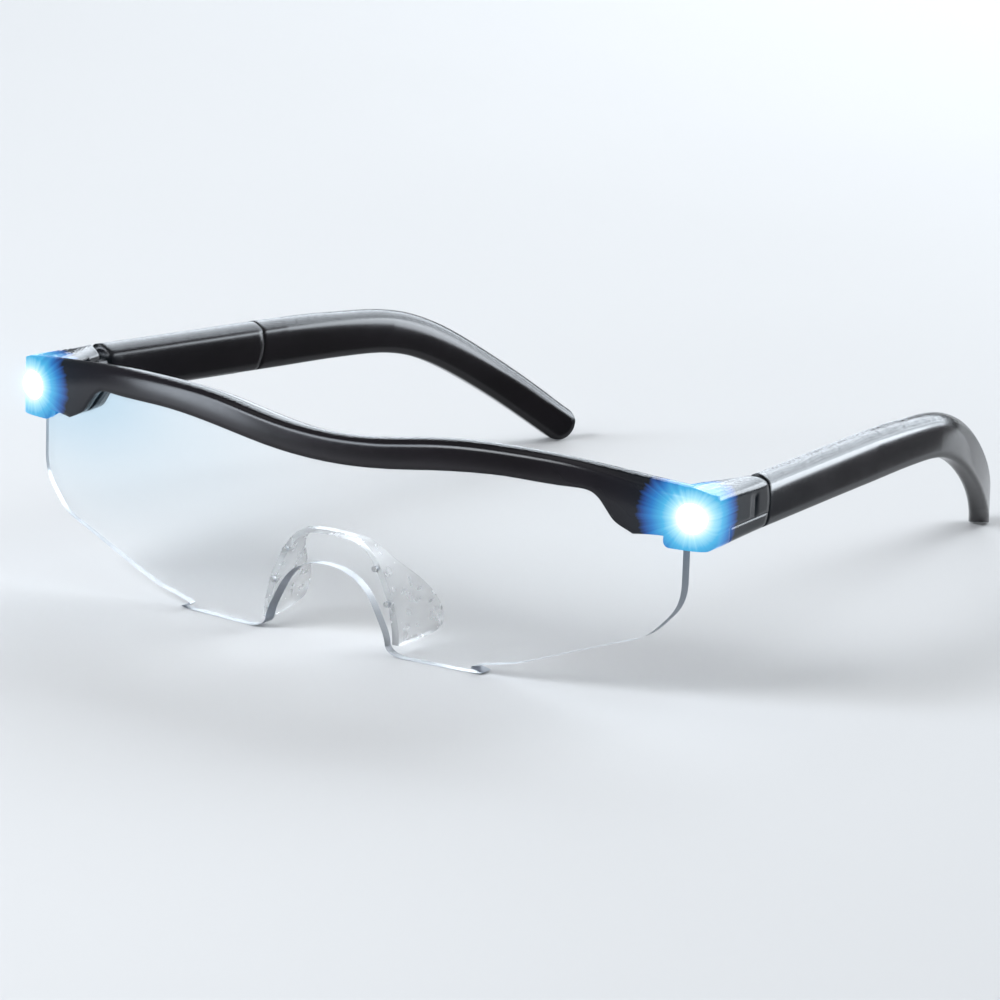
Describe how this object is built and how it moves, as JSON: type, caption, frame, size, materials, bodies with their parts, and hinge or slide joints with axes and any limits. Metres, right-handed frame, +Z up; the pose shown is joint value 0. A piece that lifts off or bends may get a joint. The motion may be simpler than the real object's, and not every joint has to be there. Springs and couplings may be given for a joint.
{
  "type": "lighted magnifier glasses",
  "caption": "Wrap-around magnifier glasses with a single curved lens under a brow bar, a lamp at each end, a clear nose piece and folding temples.",
  "frame": {"origin": "on the surface that the glasses stand on, under the centre of their bounding box", "axes": "+X is the right side as seen from the front, -Y is the way the wearer looks and +Y runs back along the temples, +Z is up"},
  "size_m": [0.1462, 0.152, 0.0413],
  "materials": {
    "frame": "gloss black moulded plastic",
    "lens": "clear moulded acrylic with a faint blue cast",
    "soft_clear": "clear soft silicone",
    "window": "clear moulded lamp window",
    "light": "lit white light with a blue edge",
    "bright": "bright metallised plastic cup",
    "board": "green circuit board",
    "wire": "red insulated wire",
    "button": "satin black plastic",
    "steel": "bright plated steel",
    "cell": "foil wrapped rechargeable cell"
  },
  "bodies": {
    "front": {"brow_bar": "frame", "lens": "lens", "nose_piece": "soft_clear", "brow_wire": "wire", "lamp_window_right": "window", "lamp_window_left": "window", "reflector_right": "bright", "reflector_left": "bright", "light_right": "light", "light_left": "light", "light_board_right": "board", "light_board_left": "board", "hinge_screw_right": "steel", "hinge_screw_left": "steel", "lamp_cover_right": "frame", "lamp_cover_left": "frame", "control_board": "board", "switch": "button"},
    "right_temple": {"temple_right": "frame"},
    "left_temple": {"battery_arm": "frame", "battery_lid": "frame", "battery_cell": "cell", "charge_board": "board", "charge_socket": "steel"},
    "left_ear": {"ear_section": "frame"},
    "button": {"power_button": "button"}
  },
  "joints": [
    {"name": "right_fold", "type": "hinge", "parent": "front", "child": "right_temple", "pos_m": [0.0701, -0.05232, 0.0327], "axis": [0, 0, 1], "range_deg": [0, 82]},
    {"name": "left_fold", "type": "hinge", "parent": "front", "child": "left_temple", "pos_m": [-0.0701, -0.05232, 0.0327], "axis": [0, 0, -1], "range_deg": [0, 74]},
    {"name": "ear_pull", "type": "slide", "parent": "left_temple", "child": "left_ear", "axis": [0.1231, 0.9911, -0.0497], "range_m": [0, 0.008]},
    {"name": "button_push", "type": "slide", "parent": "front", "child": "button", "axis": [0, 0, 1], "range_m": [0, 0.0006], "stiffness_N_per_m": 400, "springref_m": -0.0008}
  ]
}
